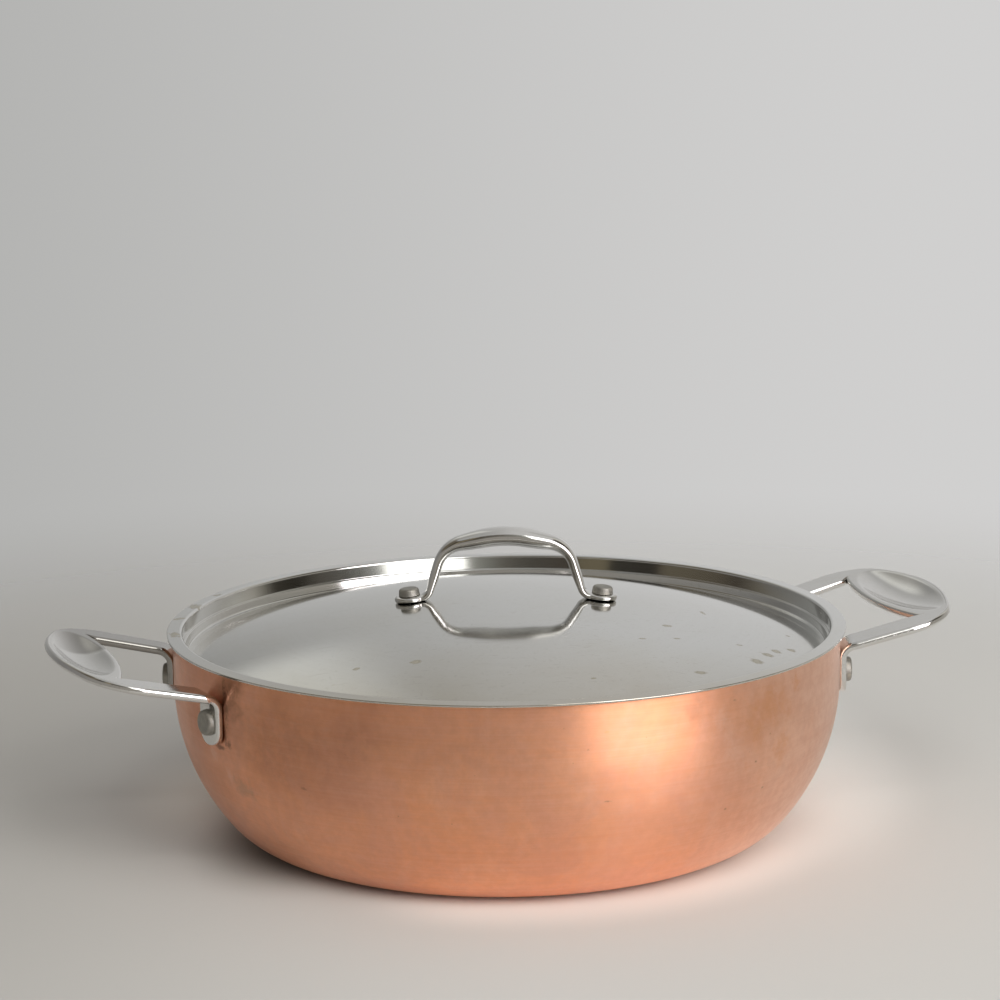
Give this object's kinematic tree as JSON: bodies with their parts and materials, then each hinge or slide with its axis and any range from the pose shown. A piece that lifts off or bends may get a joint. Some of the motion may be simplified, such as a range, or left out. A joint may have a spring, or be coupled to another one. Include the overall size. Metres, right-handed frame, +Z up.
{
  "type": "low casserole pot",
  "caption": "Low round-sided copper casserole with a steel lining, loop side handles and a recessed lid with an arched handle.",
  "frame": {"origin": "centre of the flat base, on the surface that the pot stands on", "axes": "+Z up through the lid; +X out along the right side handle, so the two side handles lie along X"},
  "size_m": [0.4084, 0.3, 0.1369],
  "materials": {
    "copper": "brushed round the body, lightly tarnished",
    "core": "bonded core, hidden but for its rim edge",
    "lining": "satin",
    "handle_steel": "polished steel",
    "rivet_steel": "matt steel",
    "lid_steel": "fine satin polish with water marks"
  },
  "bodies": {
    "pot": {"copper_shell": "copper", "aluminium_core": "core", "steel_lining": "lining", "left_handle": "handle_steel", "right_handle": "handle_steel", "left_front_rivet": "rivet_steel", "left_rear_rivet": "rivet_steel", "right_front_rivet": "rivet_steel", "right_rear_rivet": "rivet_steel"},
    "lid": {"lid_plate": "lid_steel", "lid_handle": "handle_steel", "lid_left_rivet": "rivet_steel", "lid_right_rivet": "rivet_steel"}
  },
  "joints": [
    {"name": "lid_lift", "type": "slide", "parent": "pot", "child": "lid", "axis": [0, 0, 1], "range_m": [0, 0.12]}
  ]
}
